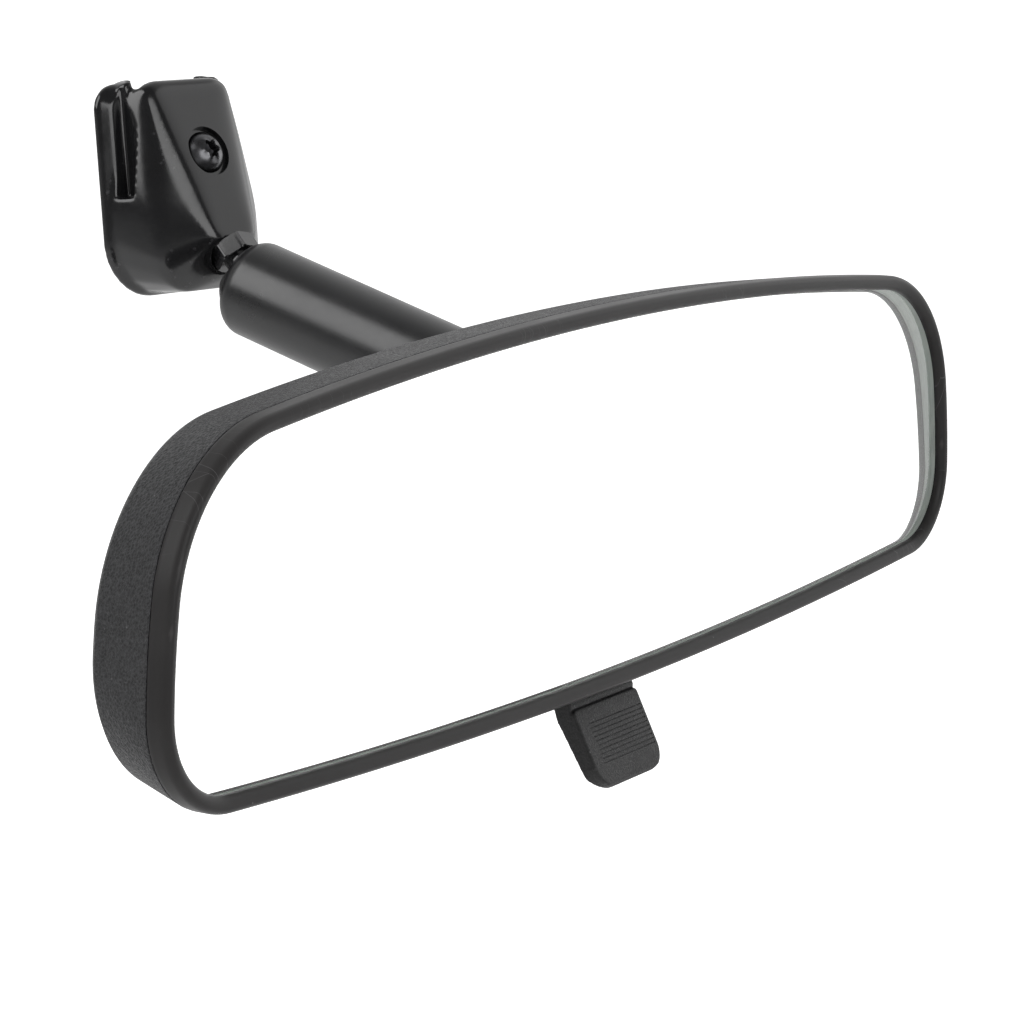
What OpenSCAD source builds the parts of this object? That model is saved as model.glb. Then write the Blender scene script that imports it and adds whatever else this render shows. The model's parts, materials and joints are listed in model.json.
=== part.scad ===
/* [Mirror head] */
// Overall width of the head
head_w = 240; // [232:2:250]
// Height of the head at its middle
head_h = 62; // [60:1:64]
// Radius of the long arch along the top edge
top_arch_r = 890; // [800:10:1000]
// Radius of the long arch along the bottom edge
bottom_arch_r = 1650; // [1400:50:1900]
// Radius of the upper corners
top_corner_r = 27; // [24:1:28]
// Radius of the lower corners
bottom_corner_r = 15.5; // [14:0.5:18]
// Drop of the side arc's centre below the middle of the head
side_drop = 16; // [13:1:18]
// Front bead of the bezel, ahead of the glass
bezel_proud = 1.7; // [1.4:0.1:2.1]
// Width of the bezel seen around the glass
bezel_w = 2.65; // [2.55:0.05:3]
// Parting line between bezel and case, behind the glass face
parting_y = 1.9; // [1.5:0.1:2.2]
// Depth where the side wall of the case turns into its back
wall_depth = 11.6; // [11:0.1:12.5]
// Deepest point of the case behind the glass face
case_depth = 29; // [28:0.5:31]

/* [Glass] */
// Thickness of the prismatic glass at its bottom edge
glass_low_t = 2.2; // [2:0.1:2.4]
// Thickness of the prismatic glass at its top edge
glass_high_t = 5.4; // [5:0.1:5.6]

/* [Arm] */
// Distance between the two ball centres
arm_length = 48.5; // [46:0.5:56]
// Outside radius of the arm tube
tube_r = 8.3; // [8.3:0.1:8.6]
// Tilt of the tube above the horizontal
arm_pitch = 16.8; // [14:0.2:20]
// Radius of both balls
ball_r = 6.35; // [6.2:0.05:6.4]
// Width of the hexagonal neck across its flats
hex_af = 7.1; // [7:0.1:7.6]

/* [Mount] */
// Width of the mount's flange
flange_w = 31.4; // [30:0.2:32]
// Turn of the mount to the side of the head's direction
mount_yaw = 9; // [0:1:12]
// Lean of the mount's back face
mount_lean = 5; // [0:1:8]
// Width of the front face at its top edge
face_top_w = 19; // [18:0.5:20]
// Width of the front face at its bottom edge
face_low_w = 5.6; // [5:0.2:7]
// Width of the button channel at its mouth
channel_mouth_w = 16; // [14:0.5:17]
// Width of the button channel behind its lips
channel_w = 19; // [18:0.5:20]
// Depth of the button channel
channel_depth = 5; // [4.6:0.1:5.2]

/* [Day and night lever] */
// Width of the lever's finger tab
tab_w = 20; // [16:1:22]
// Forward lean of the lever
lever_lean = 26; // [24:1:27]
// Distance from the lever's pivot to the lower edge of its tab
lever_reach = 24.4; // [22:0.2:26]

/* [Hidden] */

$fn = 64;
eps = 0.01;
fit = 0.02;          // clearance of pieces that are pressed together
run = 0.05;          // running clearance of a turning pin

// --- places -------------------------------------------------------------
function rot_x(v, a) = [v.x, v.y * cos(a) - v.z * sin(a), v.y * sin(a) + v.z * cos(a)];
function rot_z(v, a) = [v.x * cos(a) - v.y * sin(a), v.x * sin(a) + v.y * cos(a), v.z];

// Ball centre of the mount, in the mount's own frame
stud_reach = 21.4;
stud_drop = 20;
stud_dip = 50;
base_ball = rot_z(rot_x([0, -stud_reach, -stud_drop], -mount_lean), -mount_yaw);
head_ball = base_ball - arm_length * [0, cos(arm_pitch), sin(arm_pitch)];
// Head ball centre, measured from the middle of the glass face
head_ball_y = 24.8;
head_ball_z = 13.3;
head_origin = head_ball - [0, head_ball_y, head_ball_z];

module mount_frame() { rotate([-mount_lean, 0, -mount_yaw]) children(); }
module base_stud_frame() {
    mount_frame() translate([0, -stud_reach, -stud_drop])
        rotate([stud_dip - 90, 0, 0]) children();
}
// Z runs along the tube, from the head ball to the base ball
module arm_frame() { translate(head_ball) rotate([arm_pitch - 90, 0, 0]) children(); }
module head_frame() { translate(head_origin) children(); }
module head_stud_frame() {
    translate(head_ball) rotate([90, 0, 0]) children();
}
// Cylinder along X, centred
module x_bar(r, length) { rotate([0, 90, 0]) cylinder(r = r, h = length, center = true); }
// Profile drawn in Y and Z, extruded along X, centred
module x_plate(width) {
    rotate([90, 0, 90]) translate([0, 0, -width / 2]) linear_extrude(width) children();
}
module x_plate_at(x, width) { translate([x, 0, 0]) x_plate(width) children(); }
// Outline drawn in X and Z, extruded along Y from y0 to y1
module y_plate(y0, y1) {
    translate([0, y1, 0]) rotate([90, 0, 0]) linear_extrude(y1 - y0) children();
}
module rounded_box_2d(w, h, r) {
    hull() for (sx = [-1, 1], sz = [-1, 1])
        translate([sx * (w / 2 - r), sz * (h / 2 - r)]) circle(r, $fn = 32);
}

// --- outline of the head ------------------------------------------------
// Three pairs of arcs, all centred on the middle line: top, bottom and sides
top_z = head_h / 2 - top_arch_r;
low_z = bottom_arch_r - head_h / 2;
side_z = -side_drop;
// Centre of a corner arc of radius r between an arch and the side arc
function corner(arch_r, arch_z, side_r, r) =
    let (d1 = arch_r - r, d2 = side_r - r,
         z = (d1 * d1 - d2 * d2 + side_z * side_z - arch_z * arch_z) / (2 * (side_z - arch_z)))
    [sqrt(d1 * d1 - pow(z - arch_z, 2)), z];
function arc(c, r, a0, a1, n) =
    [for (i = [0:n]) let (a = a0 + (a1 - a0) * i / n) c + r * [cos(a), sin(a)]];
function angle_from(z, p) = atan2(p.y - z, p.x);
arch_steps = 9;
corner_steps = 10;
side_steps = 5;
rear_top_round = 3.8;    // growth of the corner radii towards the back of the wall
rear_low_round = 6;
rear_side = 0.9;         // growth of the side arc's radius
low_extra = 0.5;         // how far the outline sits below the centre of the glass
// Right half from the top middle down to the bottom middle, moved inwards by inset.
// rear goes from 0 at the bezel to 1 at the back of the wall
function right_half(inset, rear) =
    let (rt = top_corner_r + rear_top_round * rear,
         rl = bottom_corner_r + rear_low_round * rear,
         rs = head_w / 2 + rear_side * rear,
         ct = corner(top_arch_r, top_z, rs, rt),
         cl = corner(bottom_arch_r, low_z, rs, rl),
         a1 = angle_from(top_z, ct),
         a2 = angle_from(side_z, ct),
         a3 = angle_from(side_z, cl),
         a4 = angle_from(low_z, cl))
    concat(
        arc([0, top_z], top_arch_r - inset, 90, a1, arch_steps),
        arc(ct, rt - inset, a1, a2, corner_steps),
        arc([0, side_z], rs - inset, a2, a3, side_steps),
        arc(cl, rl - inset, a3, a4, corner_steps),
        arc([0, low_z], bottom_arch_r - inset, a4, -90, arch_steps));
function unique(p) = [for (i = [0:len(p) - 1]) if (i == 0 || norm(p[i] - p[i - 1]) > eps) p[i]];
function outline(inset, rear = 0) =
    let (half = unique(right_half(inset, rear)), n = len(half))
    [for (q = concat(half, [for (i = [n - 2:-1:1]) [-half[i].x, half[i].y]])) [q.x, q.y - low_extra]];

// A closed loft through rings of equal length: flat caps on both ends
module loft(rings) {
    n = len(rings[0]);
    m = len(rings);
    polyhedron(
        points = [for (ring = rings) each ring],
        faces = concat(
            [[for (i = [0:n - 1]) i]],
            [for (k = [0:m - 2], i = [0:n - 1])
                let (j = (i + 1) % n, a = k * n, b = a + n)
                each [[a + i, b + i, b + j], [a + i, b + j, a + j]]],
            [[for (i = [n - 1:-1:0]) (m - 1) * n + i]]));
}
// A ring-shaped sweep: the profile [inset, y] carried around the outline
module rim_sweep(profile) {
    rings = [for (p = profile) [for (q = outline(p.x)) [q.x, p.y, q.y]]];
    n = len(rings[0]);
    m = len(rings);
    polyhedron(
        points = [for (ring = rings) each ring],
        faces = [for (k = [0:m - 1], i = [0:n - 1])
            let (j = (i + 1) % n, a = k * n, b = ((k + 1) % m) * n)
            each [[a + i, b + j, b + i], [a + i, a + j, b + j]]]);
}

// --- mount --------------------------------------------------------------
flange_t = 3.5;
flange_taper = 3.3;
flange_top = 16.3;
flange_low = -20.2;
flange_top_corner = 4.5;
flange_low_corner = 10;
// Front face: a trapezoid that leans out towards its bottom edge
face_len = 27;
face_wedge = 19.7;
face_top_y = -7.2;
face_top_z = 15.2;
face_t = 1.5;
groove_in = 11.2;    // half of the width left between the side grooves
groove_low = -3;
groove_back = -2.6;
groove_front = -5.6;
crown_w = 16.8;      // flat top of the body above the front face
crown_front = -6.3;
crown_back = -5.8;
shelf_y = -9;        // depth of the body's lower slab
belly_r = 7.3;       // bulge under the front face
rail_at = 7;         // rounded ends of the two channel rails
rail_end_r = 2.4;
screw_up = 1.7;
screw_head_r = 3.7;
recess_r = 4.4;
recess_depth = 0.9;
screw_r = 2;
shank_r = 3;
seat_from_ball = 10.3;
seat_r = 5.3;        // spot face around the stud's hole
boss_h = 4.5;        // boss over the stud's shank
shank_len = 7;
screw_tip = 7.25;    // end of the clamp screw below the face

module face_frame() {
    translate([0, face_top_y, face_top_z]) rotate([-face_wedge, 0, 0]) translate([0, 0, -face_len / 2])
        children();
}
module flange_outline(inset) {
    hull() for (s = [-1, 1]) {
        translate([s * (flange_w / 2 - flange_top_corner), flange_top - flange_top_corner])
            circle(flange_top_corner - inset, $fn = 32);
        translate([s * (flange_w / 2 - flange_low_corner), flange_low + flange_low_corner])
            circle(flange_low_corner - inset, $fn = 32);
    }
}
// Slim rounded slab of the body at depth y
module body_slab(y, w, z0, z1, r) {
    translate([0, 0, (z0 + z1) / 2]) y_plate(y - 0.5, y) rounded_box_2d(w, z1 - z0, r);
}
module mount_body() {
    intersection() {
        face_frame() y_plate(0, 40) square([60, 80], center = true);
        body_hull();
    }
}
lower_edge = [[15.2, groove_low], [15.2, -9.5], [14.2, -13.6], [11.6, -17], [8, -19.2], [4, -19.8]];
module body_hull() {
    hull() {
        face_frame() y_plate(-0.01, face_t) polygon([
            [-face_top_w / 2, face_len / 2], [face_top_w / 2, face_len / 2],
            [face_low_w / 2, -face_len / 2], [-face_low_w / 2, -face_len / 2]]);
        // Crown above the face
        translate([0, 0, flange_top - 0.1]) y_plate(crown_front, crown_back) polygon([
            for (q = [[1, -5], [1, -1.2], [0.9, -0.3], [0.77, 0],
                      [-0.77, 0], [-0.9, -0.3], [-1, -1.2], [-1, -5]]) [q.x * crown_w / 2, q.y]]);
        body_slab(-flange_t + 0.5, 2 * groove_in + 0.6, 0, flange_top - 0.4, 3);
        body_slab(-flange_t + 0.5, flange_w - 2 * flange_taper, flange_low + 1, -2, 8);
        body_slab(shelf_y, flange_w - 2 * flange_taper - 1, flange_low + 0.6, 1, 7);
        seat_frame() cylinder(r = seat_r - 0.4, h = 1);
        // Below the side grooves the body is as wide as the flange
        y_plate(-1, -0.3) polygon([for (s = [1, -1], i = [0:5])
            let (q = lower_edge[s > 0 ? i : 5 - i]) [s * q.x, q.y]]);
        translate([0, -10.5, -11.2]) scale([1, 0.6, 1]) sphere(belly_r, $fn = 32);
    }
}
// Where the stud meets the mount; Z points up into the casting
module seat_frame() {
    translate([0, -stud_reach, -stud_drop]) rotate([stud_dip - 90, 0, 0])
        translate([0, 0, seat_from_ball]) children();
}
channel_low = -12;
channel_lip = 1.8;
shoe_t = 1.8;
shoe_len = 12;
shoe_w = 10;
shoe_z = 1.6;
module button_channel() {
    translate([-channel_mouth_w / 2, -channel_lip - eps, channel_low])
        cube([channel_mouth_w, channel_lip + 1, flange_top - channel_low + 5]);
    translate([-channel_w / 2, -channel_depth, channel_low])
        cube([channel_w, channel_depth - channel_lip, flange_top - channel_low + 5]);
    // Pocket of the clamp shoe
    translate([-shoe_w / 2 - 0.1, -channel_depth - shoe_t - 0.1, shoe_z - shoe_len / 2 - 0.1])
        cube([shoe_w + 0.2, shoe_t + 0.2, shoe_len + 0.2]);
}
module screw_frame() {
    face_frame() translate([0, 0, screw_up]) rotate([90, 0, 0]) children();
}
module mount_base() {
    color([0.05, 0.05, 0.055]) mount_frame() difference() {
        union() {
            hull() {
                y_plate(-1, 0) flange_outline(0);
                y_plate(-flange_t, -flange_t + 0.5) flange_outline(flange_taper);
            }
            mount_body();
            // Boss over the stud's shank where the face runs out
            seat_frame() cylinder(r1 = shank_r + 0.9, r2 = shank_r + 0.3, h = boss_h);
            // Rounded ends of the channel's two rails
            for (s = [-1, 1]) translate([s * rail_at, 0, flange_top - 1.6])
                scale([1.5, 1, 0.9]) rotate([90, 0, 0]) cylinder(r = rail_end_r, h = flange_t);
        }
        button_channel();
        // Grooves between flange and body
        for (s = [-1, 1]) translate([s * (groove_in + 5), 0, groove_low + 15])
            y_plate(groove_front, groove_back) square([10, 30], center = true);
        screw_frame() translate([0, 0, -14]) cylinder(r = screw_r + fit, h = 20);
        screw_frame() translate([0, 0, -recess_depth]) cylinder(r = recess_r, h = 5);
        seat_frame() cylinder(r = shank_r + fit, h = shank_len + 0.1);
        seat_frame() translate([0, 0, -6]) cylinder(r = seat_r, h = 6);
    }
}
module clamp_shoe() {
    color([0.6, 0.6, 0.62]) mount_frame() difference() {
        translate([-shoe_w / 2, -channel_depth - shoe_t, shoe_z - shoe_len / 2])
            cube([shoe_w, shoe_t, shoe_len]);
        // Dimple that takes the screw's point
        screw_frame() translate([0, 0, -screw_tip - 0.05]) cylinder(r = screw_r + 0.1, h = 6);
    }
}
// Six-lobed driver recess
module star_2d(r) {
    difference() {
        circle(r, $fn = 32);
        for (i = [0:5]) rotate(60 * i + 30) translate([r * 1.02, 0]) circle(r * 0.3, $fn = 24);
    }
}
module mount_screw() {
    dome_h = 2.2;
    dome_r = 4.3;
    color([0.12, 0.12, 0.125]) mount_frame() screw_frame() difference() {
        union() {
            // Button head: a dome cut flat below
            translate([0, 0, -recess_depth]) intersection() {
                translate([0, 0, dome_h - dome_r]) sphere(dome_r);
                cylinder(r = screw_head_r, h = dome_h);
            }
            translate([0, 0, -screw_tip]) cylinder(r = screw_r, h = screw_tip - recess_depth + eps);
        }
        translate([0, 0, -0.6]) linear_extrude(3) star_2d(1.75);
    }
}
// Ball, waist, hexagonal neck and shank; Z runs from the ball to its seat
waist_r = 2.6;
hex_start = 7.2;
module ball_stud(shank) {
    sphere(ball_r);
    cylinder(r = waist_r, h = hex_start + 0.5);
    translate([0, 0, hex_start]) cylinder(r = hex_af / sqrt(3), h = seat_from_ball - hex_start, $fn = 6);
    translate([0, 0, seat_from_ball - 0.5]) cylinder(r = shank_r, h = shank + 0.5);
}
module base_ball_stud() {
    color([0.09, 0.09, 0.095]) base_stud_frame() ball_stud(shank_len);
}

// --- ball joints --------------------------------------------------------
liner_in = ball_r + 0.03;
liner_out = liner_in + 0.67;
bore_r = liner_out + 0.07;
mouth = 4;
mouth_r = 6.45;
shoulder_r = 3.5;
cup_in = liner_out + 0.04;
cup_h = 6.5;
cup_from_ball = 2.2;
liner_open = 52;
// Thin bowl around a ball; Z points to the side that is open for the neck
module ball_liner() {
    difference() {
        sphere(liner_out);
        sphere(liner_in);
        cylinder(r1 = 0, r2 = 20 * tan(liner_open), h = 20);
        translate([0, 0, -20]) cylinder(r = 2.4, h = 20);
    }
}
// Cup that the spring presses against a lined ball at the origin; Z points away from the arm
module ball_cup() {
    difference() {
        translate([0, 0, -cup_from_ball - cup_h]) cylinder(r = bore_r - 0.04, h = cup_h);
        sphere(cup_in);
        translate([0, 0, -20]) cylinder(r = 2, h = 20);
    }
}
module base_ball_liner() { color([0.2, 0.2, 0.2]) base_stud_frame() ball_liner(); }
module head_ball_liner() { color([0.2, 0.2, 0.2]) head_stud_frame() ball_liner(); }
module base_ball_cup() {
    color([0.75, 0.75, 0.7]) arm_frame() translate([0, 0, arm_length]) ball_cup();
}
module head_ball_cup() {
    color([0.75, 0.75, 0.7]) arm_frame() mirror([0, 0, 1]) ball_cup();
}
// One end of the tube: from the middle of the arm out to the mouth
module tube_end() {
    rotate_extrude() difference() {
        union() {
            translate([0, -arm_length / 2]) square([tube_r, arm_length / 2 + mouth - shoulder_r]);
            translate([0, mouth - shoulder_r - eps]) square([tube_r - shoulder_r, shoulder_r + eps]);
            intersection() {
                translate([tube_r - shoulder_r, mouth - shoulder_r]) circle(shoulder_r);
                translate([0, mouth - shoulder_r - eps]) square([tube_r + 1, shoulder_r + 1]);
            }
        }
        translate([-1, -arm_length / 2 - 1]) square([bore_r + 1, arm_length / 2 + 1]);
        circle(bore_r);
        translate([-1, 0]) square([mouth_r + 1, mouth + 1]);
        translate([-20, -arm_length]) square([20, arm_length * 2]);
    }
}
module arm_tube() {
    color([0.1, 0.1, 0.105]) arm_frame() union() {
        translate([0, 0, arm_length]) tube_end();
        mirror([0, 0, 1]) tube_end();
    }
}
// Coil spring between the cups
spring_wire = 1.2;
spring_r = 5.4;
spring_turns = 7;
wire_sides = 8;
turn_steps = 20;
spring_len = arm_length - 2 * (cup_from_ball + cup_h) - 2 * fit;
function coil_ring(i, steps) =
    let (a = 360 * spring_turns * i / steps,
         z = spring_wire / 2 + (spring_len - spring_wire) * i / steps)
    [for (k = [0:wire_sides - 1]) let (b = 360 * k / wire_sides, r = spring_r + spring_wire / 2 * cos(b))
        [r * cos(a), r * sin(a), z + spring_wire / 2 * sin(b)]];
module arm_spring() {
    steps = spring_turns * turn_steps;
    color("silver") arm_frame()
        translate([0, 0, cup_from_ball + cup_h + fit])
        loft([for (i = [0:steps]) coil_ring(i, steps)]);
}

// --- head mechanism -----------------------------------------------------
pin_r = 1.5;
hinge_y = 13.5;
hinge_z = 21;
lever_y = 8;
lever_z = -25;
drive_r = 4.3;       // from the lever's pivot to its drive bar
drive_bar_r = 1.3;
fork_gap = 0.25;
carrier_front = 12;
carrier_back = head_ball_y - seat_from_ball;
frame_front = 8.6;
frame_back = 9.8;
drive_y = lever_y + drive_r * sin(lever_lean);
drive_z = lever_z + drive_r * cos(lever_lean);

module head_ball_stud() {
    color([0.09, 0.09, 0.095]) head_stud_frame() ball_stud(5.2);
}
module stud_nut() {
    color([0.6, 0.6, 0.62]) head_stud_frame() translate([0, 0, head_ball_y - carrier_front])
        difference() {
            cylinder(r = 5.2, h = 2.4, $fn = 6);
            translate([0, 0, -1]) cylinder(r = shank_r + fit, h = 5);
        }
}
module pivot_carrier() {
    knuckle_r = 3;
    fork_in = drive_bar_r + fork_gap;
    fork_out = fork_in + 1.4;
    fork_low = drive_z - 1.1;
    color([0.45, 0.45, 0.47]) head_frame() difference() {
        union() {
            y_plate(carrier_front, carrier_back) translate([0, 6])
                square([26, 24], center = true);
            for (s = [-1, 1]) translate([s * 10.5, hinge_y, hinge_z]) x_bar(knuckle_r, 8);
            for (s = [-1, 1]) x_plate_at(s * 10.5, 8) polygon([
                [carrier_front, 16], [carrier_back, 16],
                [hinge_y + 1, hinge_z], [hinge_y - 1.5, hinge_z]]);
            // Tongue that comes forward to the fork
            x_plate(10) polygon([
                [carrier_front, 0], [carrier_back, 0], [carrier_back, -6],
                [drive_y + fork_out, drive_z + 5], [drive_y + fork_out, fork_low],
                [drive_y - fork_out, fork_low], [drive_y - fork_out, drive_z + 5],
                [carrier_front, -8]]);
        }
        translate([0, hinge_y, hinge_z]) x_bar(pin_r + run, 60);
        translate([0, 0, head_ball_z]) rotate([-90, 0, 0]) cylinder(r = shank_r + fit, h = 40);
        // Slot of the fork, open below
        x_plate(12) polygon([
            [drive_y - fork_in, fork_low - 1], [drive_y + fork_in, fork_low - 1],
            [drive_y + fork_in, drive_z + 2.2], [drive_y - fork_in, drive_z + 2.2]]);
    }
}
module carrier_hinge_pin() {
    color("silver") head_frame() translate([0, hinge_y, hinge_z]) x_bar(pin_r, 36);
}
module lever_pivot_pin() {
    color("silver") head_frame() translate([0, lever_y, lever_z]) x_bar(pin_r, 29);
}
frame_screw_at = [for (s = [-1, 1], z = [-12, 19]) [s * 25, z]];
module toggle_frame() {
    color([0.5, 0.5, 0.52]) head_frame() difference() {
        union() {
            y_plate(frame_front, frame_back) translate([0, 4]) square([60, 42], center = true);
            // Cheeks of the hinge pin
            for (s = [-1, 1]) x_plate_at(s * 16.6, 2) polygon([
                [frame_front, 24.2], [hinge_y + 1.8, 24.2], [hinge_y + 3.2, 21],
                [hinge_y + 2, 17.5], [frame_front, 12]]);
            // Legs of the lever pin
            for (s = [-1, 1]) x_plate_at(s * 13.3, 1.6) polygon([
                [frame_front, -10], [frame_back, -10], [frame_back, -14], [11, -22], [11, -26.5],
                [9.5, -28], [6.2, -28], [5.2, -26.5], [5.2, -22], [frame_front, -17]]);
        }
        // Window for the carrier and the nut
        y_plate(0, 40) translate([0, -4.7]) square([24.8, 46.6], center = true);
        translate([0, hinge_y, hinge_z]) x_bar(pin_r + fit, 60);
        translate([0, lever_y, lever_z]) x_bar(pin_r + fit, 60);
        for (p = frame_screw_at) translate([p.x, 0, p.y]) rotate([-90, 0, 0]) cylinder(r = 1.6, h = 20);
    }
}
module frame_screws() {
    color("silver") head_frame() for (p = frame_screw_at) translate([p.x, frame_front, p.y])
        rotate([-90, 0, 0]) difference() {
            union() {
                translate([0, 0, -1.6]) cylinder(r = 2.7, h = 1.6);
                cylinder(r = 1.25, h = 9);
            }
            for (a = [0, 90]) rotate(a) translate([-1.6, -0.35, -2]) cube([3.2, 0.7, 1.2]);
        }
}
module stop_bumpers() {
    color([0.15, 0.15, 0.15]) head_frame() for (s = [-1, 1])
        translate([s * 14.4, frame_back, 1]) rotate([-90, 0, 0]) cylinder(r = 1.9, h = 0.7);
}
module detent_spring() {
    leaf_t = 0.4;
    leaf_y = lever_y + 2.5 + 0.25;
    color("silver") head_frame() {
        x_plate_at(10.2, 2.6) polygon([
            [frame_back, -12], [leaf_y + leaf_t, -12], [leaf_y + leaf_t, -27],
            [leaf_y, -27], [leaf_y, -12.4], [frame_back, -12.4]]);
        translate([8.9, frame_back, -13]) cube([9, leaf_t, 4]);
    }
}
module toggle_lever() {
    hub_r = 2.5;
    tab_front = -0.65;
    tab_top = -10.8;
    neck_front = 0.6;
    neck_back = 3.1;
    neck_w = 13;
    collar_top = -8;
    groove_n = 10;
    groove_pitch = 0.75;
    groove_h = 0.35;
    color([0.11, 0.11, 0.115]) head_frame() translate([0, lever_y, lever_z])
        rotate([-lever_lean, 0, 0]) difference() {
            union() {
                x_bar(hub_r, 24);
                // Arms and drive bar
                for (s = [-1, 1]) x_plate_at(s * 6.8, 2) polygon([
                    [-1.6, 0], [1.6, 0], [1.2, drive_r], [-1.2, drive_r]]);
                translate([0, 0, drive_r]) x_bar(drive_bar_r, 15.6);
                // Neck that leaves the case
                x_plate(neck_w) polygon([
                    [-1.3, 0], [1.6, 0], [neck_back, tab_top - 1], [neck_front, tab_top - 1]]);
                // Neck as wide as the tab just under the case
                x_plate(tab_w) polygon([
                    [0.05, collar_top], [2.6, collar_top], [neck_back, tab_top - 1], [0.45, tab_top - 1]]);
                tab(tab_front, tab_top);
            }
            x_bar(pin_r + run, 60);
            // Grip grooves
            for (i = [0:groove_n - 1])
                translate([-tab_w / 2 + 3, tab_front - 0.5, tab_top - 3 - groove_pitch * i])
                    cube([tab_w - 3.8, 0.8, groove_h]);
        }
}
// Finger tab: a wedge with big round lower corners
module tab(front, top) {
    low_r = 4;
    intersection() {
        x_plate(tab_w) polygon([
            [front, top], [front, 0.6 - lever_reach], [front + 0.6, -lever_reach],
            [front + 1.5, -lever_reach], [front + 2.7, 2.4 - lever_reach], [front + 3.75, top]]);
        y_plate(-10, 10) hull() for (s = [-1, 1]) {
            translate([s * (tab_w / 2 - low_r), -lever_reach + low_r]) circle(low_r, $fn = 32);
            translate([s * (tab_w / 2 - 0.8), top - 0.8]) circle(0.8, $fn = 32);
        }
    }
}

// --- head shells --------------------------------------------------------
case_wall = 1.9;
wall_draft = 1.25;
lap_t = 0.6;         // thickness of the bezel's tongue inside the case
lap_len = 2;
glass_inset = 2.1;
glass_y = 0.1;
coat_t = 0.15;
pad_t = 1;
// Depth and scale of each ring on the back of the case: [y, x scale, z scale].
// The back is a quartic dome in Z and a cubic one in X
back_flat = 0.35;    // z scale of the flat in its middle
function back_ring(t) = let (s = 1 - (1 - back_flat) * t)
    [wall_depth + (case_depth - wall_depth) * (1 - pow(s, 4)), pow(s, 4 / 3), s];
back_steps = 11;
function scaled_ring(inset, r) = [for (q = outline(inset, 1)) [q.x * r[1], r[0], q.y * r[2]]];
function flat_ring(inset, y) = [for (q = outline(inset)) [q.x, y, q.y]];
function shell_rings(front, inset, depth_cut) = concat(
    [flat_ring(inset, front)],
    [for (i = [0:back_steps]) let (r = back_ring(i / back_steps), k = r[0] - depth_cut)
        scaled_ring(inset + wall_draft, [k, r[1], r[2]])]);
arm_hole_r = 13;
boss_r = 3.3;
module rear_case() {
    color([0.13, 0.13, 0.135]) head_frame() difference() {
        loft(shell_rings(parting_y, 0, 0));
        difference() {
            loft(shell_rings(parting_y - eps, case_wall, case_wall));
            // Bosses for the frame screws
            for (p = frame_screw_at) translate([p.x, frame_back, p.y]) rotate([-90, 0, 0])
                cylinder(r = boss_r, h = 30);
            // Ribs that back the glass pad
            for (x = [-85, -55, 55, 85]) translate([x - 0.8, 8.6, -40]) cube([1.6, 30, 80]);
        }
        // Rebate for the bezel's tongue
        rim_cut(parting_y - 0.1, parting_y + lap_len + 0.15, case_wall - lap_t - 0.05);
        // Seat of the glass
        rim_cut(parting_y - 0.1, glass_y + glass_high_t + coat_t + 0.1, glass_inset - 0.05);
        for (p = frame_screw_at) translate([p.x, 0, p.y]) rotate([-90, 0, 0])
            cylinder(r = 1.25 + fit, h = 19);
        translate([0, 15, head_ball_z]) rotate([-90, 0, 0]) cylinder(r = arm_hole_r, h = 30);
        translate([-8.2, 3.7, -40]) cube([16.4, 9.1, 18]);
    }
}
// Solid inside the outline, from y0 to y1
module rim_cut(y0, y1, inset) { y_plate(y0, y1) polygon(outline(inset)); }
module front_bezel() {
    lip = glass_inset + 0.05;
    tongue_in = case_wall - fit;
    tongue_out = tongue_in - lap_t;
    color([0.14, 0.14, 0.145]) head_frame() rim_sweep([
        [0, parting_y - 0.02], [0, -0.5], [0.2, -bezel_proud + 0.5], [0.6, -bezel_proud + 0.1],
        [1, -bezel_proud], [1.5, -bezel_proud + 0.18], [2.1, -bezel_proud + 0.65],
        [bezel_w - 0.15, -0.5], [bezel_w, -0.1], [bezel_w, 0.05], [lip - 0.1, 0.05], [tongue_in, 0.3],
        [tongue_in, parting_y + lap_len], [tongue_out, parting_y + lap_len],
        [tongue_out, parting_y - 0.02]]);
}
// Slab behind the glass, between two depths that follow the wedge
glass_low_z = -head_h / 2 + glass_inset;
glass_high_z = head_h / 2 - glass_inset;
module wedge_slab(near, far, inset) {
    function back_y(z) = glass_y + glass_low_t
        + (glass_high_t - glass_low_t) * (z - glass_low_z) / (glass_high_z - glass_low_z);
    intersection() {
        rim_cut(-1, 20, inset);
        x_plate(head_w) polygon([
            [near < 0 ? glass_y : back_y(-40) + near, -40],
            [near < 0 ? glass_y : back_y(40) + near, 40],
            [back_y(40) + far, 40], [back_y(-40) + far, -40]]);
    }
}
module mirror_glass() {
    color([0.75, 0.82, 0.82]) head_frame() wedge_slab(-1, 0, glass_inset);
}
module mirror_coating() {
    color([0.9, 0.92, 0.93]) head_frame() wedge_slab(0, coat_t, glass_inset + 0.3);
}
module glass_pad() {
    color([0.3, 0.3, 0.3]) head_frame() wedge_slab(coat_t, coat_t + pad_t, glass_inset + 1.5);
}

mount_base();
clamp_shoe();
mount_screw();
base_ball_stud();
base_ball_liner();
base_ball_cup();
arm_tube();
arm_spring();
head_ball_cup();
head_ball_liner();
head_ball_stud();
stud_nut();
pivot_carrier();
rear_case();
front_bezel();
mirror_glass();
mirror_coating();
glass_pad();
toggle_frame();
frame_screws();
carrier_hinge_pin();
lever_pivot_pin();
detent_spring();
stop_bumpers();
toggle_lever();
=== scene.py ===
import json
import math
import bpy
import bmesh
import numpy as np
from mathutils import Matrix, Vector


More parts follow.
